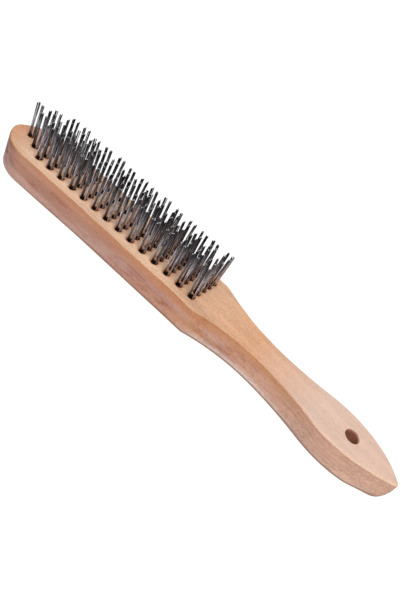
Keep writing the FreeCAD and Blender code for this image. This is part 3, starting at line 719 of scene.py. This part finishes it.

    # painted shade round the tuft holes, worked out from the drilling pattern
    numbers, offsets = [], []
    for at, start, pitch in ((parts["X"], h["First Column"], h["Column Pitch"]),
                             (parts["Y"], 0.0, h["Row Pitch"])):
        at = addNode(tree, calc, at, start, **minus)
        at = addNode(tree, calc, at, pitch, operation="DIVIDE")
        numbers.append(addNode(tree, calc, at, operation="ROUND"))
        off = addNode(tree, calc, at, numbers[-1], **minus)
        offsets.append(addNode(tree, calc, off, pitch, **times))
    columnNumber, rowNumber = numbers
    offset = addNode(tree, "ShaderNodeCombineXYZ", *offsets)
    fromHole = addNode(tree, "ShaderNodeVectorMath", offset, operation="LENGTH").outputs["Value"]
    rowsAside = addNode(tree, calc, rowNumber, operation="ABSOLUTE")
    rowLimit = addNode(tree, calc, columnNumber, 2.0, operation="MINIMUM")
    rowLimit = addNode(tree, calc, rowLimit, 0.5)
    drilled = addNode(tree, calc, rowsAside, rowLimit, operation="LESS_THAN")
    lastColumn = addNode(tree, calc, columnNumber, h["Columns"] - 0.5, operation="LESS_THAN")
    drilled = addNode(tree, calc, drilled, lastColumn, **times)
    holeFloor = b["thickness"] - h["Hole Depth"] - 0.5
    nearFace = addNode(tree, calc, parts["Z"], holeFloor, operation="GREATER_THAN")
    drilled = addNode(tree, calc, drilled, nearFace, **times)
    uneven = addNode(tree, calc, grain["mottle"], look["stainUneven"], fromHole, operation="MULTIPLY_ADD")
    stain = addNode(tree, ease, uneven, *ramps["stain"], **softly)
    stain = addNode(tree, calc, stain, drilled, **times)
    wood = addNode(tree, blend, stain, wood, hexColor(look["holeStain"]), **inColor)
    # painted shade: the walls of the tuft holes turn near black below the face
    beyond, darkFrom, darkTo = look["holeDark"]
    holeShadeShare = addNode(tree, calc, fromHole, h["Hole Radius"] + beyond, operation="LESS_THAN")
    deep = addNode(tree, ease, parts["Z"], b["thickness"] - darkFrom, b["thickness"] - darkTo)
    holeShadeShare = addNode(tree, calc, holeShadeShare, deep, **times)
    holeShadeShare = addNode(tree, calc, holeShadeShare, drilled, **times)
    wood = addNode(tree, blend, holeShadeShare, wood, hexColor(look["holeWall"]), **inColor)
    # and the brown wall of the hanging hole
    hangOffset = addNode(tree, "ShaderNodeVectorMath", blockPlace, h["Hang Place"], **minus)
    hangOffset = addNode(tree, "ShaderNodeVectorMath", hangOffset, (1, 1, 0), **times)
    fromHang = addNode(tree, "ShaderNodeVectorMath", hangOffset, operation="LENGTH").outputs["Value"]
    reach = h["Hang Radius"] + h["Rim Break"]
    inside, outside, darkShare = look["hangDark"]
    inHang = addNode(tree, ease, fromHang, reach + inside, reach + outside, darkShare, 0.0)
    inHang = addNode(tree, calc, inHang, sideShare, **times)
    wood = addNode(tree, blend, inHang, wood, hexColor(look["hangWall"]), **inColor)
    tree.links.new(next(s for s in wood.outputs if s.enabled), shader.inputs["Base Color"])

    # open fibres: raised grain and flecks under the light
    strength, distance, sink = look["bump"]
    relief = addNode(tree, calc, fleckShare, sink, grain["fibres"], operation="MULTIPLY_ADD")
    bump = addNode(tree, "ShaderNodeBump", Strength=strength, Distance=distance, Height=relief)
    tree.links.new(bump.outputs[0], shader.inputs["Normal"])
    dullness = addNode(tree, ease, grain["fibres"], *ramps["gloss"])
    shader.inputs["Specular IOR Level"].default_value = look["specular"]
    tree.links.new(dullness.outputs[0], shader.inputs["Roughness"])
    return material


beech = buildBeech(beechLook, woodBlock, holes)
holes["Face Height"] = woodBlock["thickness"]
holes["Material"] = beech
blockBlank.materials.append(beech)
blockMesh = bakeTree("handleBlock", buildHoleTree(), holes, blockBlank)
blockMesh.transform(blockToFrame)
for vertex in blockMesh.vertices:  # the two spots it rests on are worn flat
    vertex.co.z = max(vertex.co.z, 0.0)
blockPiece = addPiece("beech_block", blockMesh, ["handle_block"])
print("block:", len(blockMesh.polygons), "faces, materials", [m.name for m in blockMesh.materials])

# steel wires: each tuft is five hairpins folded over an anchor, one piece a row

tufts = {
    "Row Pitch": 5.3, "Wires": 5, "Wire Pitch": 0.5, "Wire Radius": 0.25,
    "Bend Radius": 1.5, "Bend Depth": 10.275,  # centre of the bend below the face
    "Height": 21.8,
    "Tuft Lean": 0.9,  # a whole tuft leans this far at the tips
    "Wire Lean": 0.22,  # and each leg a little further by itself
    "Fan": 0.20,  # the two legs spread apart
    "Gather": 0.42,  # the flat row of wires in a leg gathers into a round bundle
    "Gathered By": 0.3,  # of the height
    "Draw In": -0.16,  # as its outer wires move by this share of their place in the row
    "Lean Curve": 1.6,  # more than 1 keeps the foot of a wire straight
    "Cut Unevenness": 0.9,  # the shortest wire is worn down by this much
}


def buildTuftTree():
    tree, given = startTree("wireTufts", {
        "Tufts": "Int", "Row Pitch": "Float", "Wires": "Int", "Wire Pitch": "Float",
        "Wire Radius": "Float", "Bend Radius": "Float", "Bend Depth": "Float", "Height": "Float",
        "Tuft Lean": "Float", "Wire Lean": "Float", "Fan": "Float", "Gather": "Float",
        "Gathered By": "Float", "Draw In": "Float", "Lean Curve": "Float",
        "Cut Unevenness": "Float", "Seed": "Int", "Material": "Material",
    })
    calc, vector, combine = "ShaderNodeMath", "ShaderNodeVectorMath", "ShaderNodeCombineXYZ"
    store, recall = "GeometryNodeStoreNamedAttribute", "GeometryNodeInputNamedAttribute"
    legCuts, bendCuts, wireSides = 3, 4, 6
    pointsInPin = 2 * legCuts + bendCuts + 1

    # one hairpin: down a leg, round the bend and up the other leg
    index = addNode(tree, "GeometryNodeInputIndex")
    pin = addNode(tree, "GeometryNodeMeshLine", Count=pointsInPin)
    legLength = addNode(tree, calc, given["Height"], given["Bend Depth"])
    turned = addNode(tree, "ShaderNodeMapRange", index, legCuts, legCuts + bendCuts, 0.0, math.pi)
    downLeg = addNode(tree, calc, legCuts, index, **minus)
    downLeg = addNode(tree, calc, downLeg, 0.0, operation="MAXIMUM")
    stepsUp = addNode(tree, calc, index, legCuts + bendCuts, **minus)
    stepsUp = addNode(tree, calc, stepsUp, 0.0, operation="MAXIMUM")
    stepsUp = addNode(tree, calc, stepsUp, downLeg)
    legStep = addNode(tree, calc, legLength, legCuts, operation="DIVIDE")
    upLeg = addNode(tree, calc, stepsUp, legStep, **times)
    bendX = addNode(tree, calc, turned, operation="COSINE")
    pinX = addNode(tree, calc, bendX, given["Bend Radius"], **times)
    pinX = addNode(tree, calc, pinX, -1.0, **times)
    bendZ = addNode(tree, calc, turned, operation="SINE")
    bendZ = addNode(tree, calc, bendZ, given["Bend Radius"], **times)
    overFace = addNode(tree, calc, upLeg, given["Bend Depth"], **minus)
    pinZ = addNode(tree, calc, overFace, bendZ, **minus)
    pin = addNode(tree, "GeometryNodeSetPosition", pin, Position=addNode(tree, combine, X=pinX, Z=pinZ))
    legSide = addNode(tree, calc, index, legCuts + bendCuts / 2, **minus)
    legSide = addNode(tree, calc, legSide, operation="SIGN")
    pin = addNode(tree, store, pin, Name="legSide", Value=legSide, data_type="FLOAT")
    rise = addNode(tree, calc, overFace, given["Height"], operation="DIVIDE")
    rise = addNode(tree, calc, rise, 0.0, operation="MAXIMUM")
    pin = addNode(tree, store, pin, Name="rise", Value=rise, data_type="FLOAT")

    # hairpins side by side in a tuft, tufts side by side in the row
    wires = pin
    place = addNode(tree, "GeometryNodeInputPosition")
    for count, pitch, label, value, kind in (
            ("Wires", "Wire Pitch", "fromTuft", place, "FLOAT_VECTOR"),
            ("Tufts", "Row Pitch", "tuftNumber", index, "INT")):
        spaces = addNode(tree, calc, given[count], 1.0, **minus)
        start = addNode(tree, calc, spaces, given[pitch], **times)
        start = addNode(tree, calc, start, -0.5, **times)
        line = addNode(tree, "GeometryNodeMeshLine", given[count],
                       Start_Location=addNode(tree, combine, Y=start),
                       Offset=addNode(tree, combine, Y=given[pitch]))
        wires = addNode(tree, "GeometryNodeInstanceOnPoints", line, Instance=wires)
        wires = addNode(tree, store, wires, Name=label, Value=value, data_type=kind, domain="INSTANCE")
    wires = addNode(tree, "GeometryNodeRealizeInstances", wires)
    wires = addNode(tree, "GeometryNodeMeshToCurve", wires)

    # lean and spread above the face, more towards the tips
    legSide = addNode(tree, recall, "legSide", data_type="FLOAT")
    tuftNumber = addNode(tree, recall, "tuftNumber", data_type="INT")
    fromTuft = addNode(tree, recall, "fromTuft", data_type="FLOAT_VECTOR")
    rise = addNode(tree, recall, "rise", data_type="FLOAT")
    pinNumber = addNode(tree, calc, index, pointsInPin, operation="DIVIDE")
    pinNumber = addNode(tree, calc, pinNumber, operation="FLOOR")
    secondLeg = addNode(tree, calc, legSide, 0.0, operation="GREATER_THAN")
    legNumber = addNode(tree, calc, pinNumber, 2.0, secondLeg, operation="MULTIPLY_ADD")
    chance = {}  # a fixed vector for each tuft, leg and cut, each way from -1 to 1
    for offset, (name, number) in enumerate((("tuft", tuftNumber), ("leg", legNumber),
                                             ("cut", legNumber)), start=1):
        seed = addNode(tree, calc, given["Seed"], offset)
        chance[name] = addNode(tree, "FunctionNodeRandomValue", (-1, -1, -1), (1, 1, 1), ID=number,
                               Seed=seed, data_type="FLOAT_VECTOR")
    tuftShift = addNode(tree, vector, chance["tuft"], Scale=given["Tuft Lean"], operation="SCALE")
    legShift = addNode(tree, vector, chance["leg"], Scale=given["Wire Lean"], operation="SCALE")
    fanShift = addNode(tree, calc, legSide, given["Fan"], **times)
    sideways = addNode(tree, vector, tuftShift, legShift)
    sideways = addNode(tree, vector, sideways, addNode(tree, combine, X=fanShift))
    bow = addNode(tree, calc, rise, given["Lean Curve"], operation="POWER")
    sideways = addNode(tree, vector, sideways, (1, 1, 0), **times)
    sideways = addNode(tree, vector, sideways, Scale=bow, operation="SCALE")
    # every second wire of the row steps out to one side or the other
    across = addNode(tree, "ShaderNodeSeparateXYZ", fromTuft).outputs["Y"]
    wireNumber = addNode(tree, calc, across, given["Wire Pitch"], operation="DIVIDE")
    quarterTurns = addNode(tree, calc, wireNumber, math.pi / 2, **times)
    stepOut = addNode(tree, calc, quarterTurns, operation="SINE")
    stepOut = addNode(tree, calc, stepOut, given["Gather"], **times)
    gathered = addNode(tree, "ShaderNodeMapRange", rise, 0.0, given["Gathered By"])
    stepOut = addNode(tree, calc, stepOut, gathered, **times)
    drawIn = addNode(tree, calc, across, given["Draw In"], **times)
    drawIn = addNode(tree, calc, drawIn, gathered, **times)
    sideways = addNode(tree, vector, sideways, addNode(tree, combine, stepOut, drawIn))
    cut = addNode(tree, "ShaderNodeSeparateXYZ", chance["cut"]).outputs["Z"]
    cut = addNode(tree, "ShaderNodeMapRange", cut, -1.0, 1.0, -1.0, 0.0)
    cut = addNode(tree, calc, cut, given["Cut Unevenness"], **times)
    upwards = addNode(tree, calc, cut, rise, **times)
    shift = addNode(tree, vector, sideways, addNode(tree, combine, Z=upwards))
    wires = addNode(tree, "GeometryNodeSetPosition", wires, Offset=shift)
    # no two wires are equally clean, and one leg of a tuft is made lighter and the other darker as
    # painted light and shade
    wireTone = addNode(tree, "ShaderNodeSeparateXYZ", chance["cut"]).outputs["X"]
    tuftTone = addNode(tree, "ShaderNodeSeparateXYZ", chance["tuft"]).outputs["Z"]
    paintedLegShade = addNode(tree, calc, tuftTone, legSide, **times)
    shade = addNode(tree, calc, wireTone, paintedLegShade)
    wires = addNode(tree, store, wires, Name="legShade", Value=shade, data_type="FLOAT")

    ring = addNode(tree, "GeometryNodeCurvePrimitiveCircle", wireSides, Radius=given["Wire Radius"])
    steel = addNode(tree, "GeometryNodeCurveToMesh", wires, ring, Fill_Caps=True)
    whole = addNode(tree, "GeometryNodeRealizeInstances", steel)
    painted = addNode(tree, "GeometryNodeSetMaterial", whole, Material=given["Material"])
    addNode(tree, "NodeGroupOutput", painted)
    return tree


wireLook = {
    "clean": "#dad7df", "dull": "#827e86",
    "tips": "#2f2c30",  # the working ends are darker: burnt-on oil and rust dust
    "cutEnds": "#d2d2d8",  # sheared flat and still bright
    "streak": (3.0, 0.5, 2.0, 0.6),  # marks of drawing: along, across, detail, roughness
    "roughness": (0.26, 0.42),
}
stripLook = {
    "clean": "#8d8883", "dull": "#625d59", "tips": "#625d59", "cutEnds": "#8d8883",
    "streak": (0.6, 2.4, 2.0, 0.6), "roughness": (0.42, 0.60),
}
steelRamps = {  # input from and to, output from and to
    "streak": (0.35, 0.65, 0.0, 1.0),
    "tips": (10.0, 21.0, 0.0, 0.85),  # by millimetres above the face
    "leg": (-1.4, 1.4, 0.28, 1.30),
    "cut": (0.70, 0.90, 0.0, 1.0),  # by how far the surface looks up
    "gloss": (0.3, 0.7),
}


def buildSteel(name, look, faceHeight):
    # steel as drawn or rolled: grey with a lilac cast, streaked along its length,
    # a soft gloss that is never a mirror
    material, tree, shader = startMaterial(name)
    ease, blend = "ShaderNodeMapRange", "ShaderNodeMix"
    blockPlace, normal = addBlockSpace(tree)
    height = addNode(tree, "ShaderNodeSeparateXYZ", blockPlace).outputs["Z"]
    long, across, detail, roughness = look["streak"]
    stretched = addNode(tree, "ShaderNodeMapping", blockPlace, Scale=(1 / across, 1 / across, 1 / long))
    streaks = addNode(tree, "ShaderNodeTexNoise", stretched, 1.0, detail, roughness)
    streakShare = addNode(tree, ease, streaks, *steelRamps["streak"])
    steel = addNode(tree, blend, streakShare, hexColor(look["clean"]), hexColor(look["dull"]), **inColor)
    overFace = addNode(tree, "ShaderNodeMath", height, faceHeight, **minus)
    tipShare = addNode(tree, ease, overFace, *steelRamps["tips"], **softly)
    steel = addNode(tree, blend, tipShare, steel, hexColor(look["tips"]), **inColor)
    legShade = addNode(tree, "ShaderNodeAttribute", attribute_name="legShade").outputs["Fac"]
    # random tone per wire, with painted light and shade on the two legs of each tuft
    brightness = addNode(tree, ease, legShade, *steelRamps["leg"])
    steel = addNode(tree, "ShaderNodeHueSaturation", Color=steel, Value=brightness)
    cutShare = addNode(tree, ease, normal["Z"], *steelRamps["cut"])
    steel = addNode(tree, blend, cutShare, steel, hexColor(look["cutEnds"]), **inColor)
    shader.inputs["Metallic"].default_value = 1.0
    tree.links.new(next(s for s in steel.outputs if s.enabled), shader.inputs["Base Color"])
    gloss = addNode(tree, ease, streaks, *steelRamps["gloss"], *look["roughness"])
    tree.links.new(gloss.outputs[0], shader.inputs["Roughness"])
    return material


tufts["Material"] = buildSteel("drawnSteelWire", wireLook, woodBlock["thickness"])
tuftTree = buildTuftTree()
firstSeed, seedStep = 40, 7
for column in range(holes["Columns"]):
    tufts["Tufts"] = min(2 * column + 1, holes["Rows"])
    tufts["Seed"] = firstSeed + column * seedStep
    wireMesh = bakeTree(f"wireRow{column + 1:02d}", tuftTree, tufts)
    place = (holes["First Column"] + column * holes["Column Pitch"], 0, woodBlock["thickness"])
    wireMesh.transform(blockToFrame @ Matrix.Translation(place))
    addPiece(f"wire_row_{column + 1:02d}", wireMesh, [f"tuft_row_{column + 1:02d}"])

# flat anchors keep their modelled shape and get rolled steel

rolledSteel = buildSteel("rolledSteelStrip", stripLook, woodBlock["thickness"])
for column in range(holes["Columns"]):
    anchor = frame["nodes"][f"anchor_row_{column + 1:02d}"]
    for materialSlot in anchor.material_slots:
        materialSlot.material = rolledSteel
print("anchors painted")
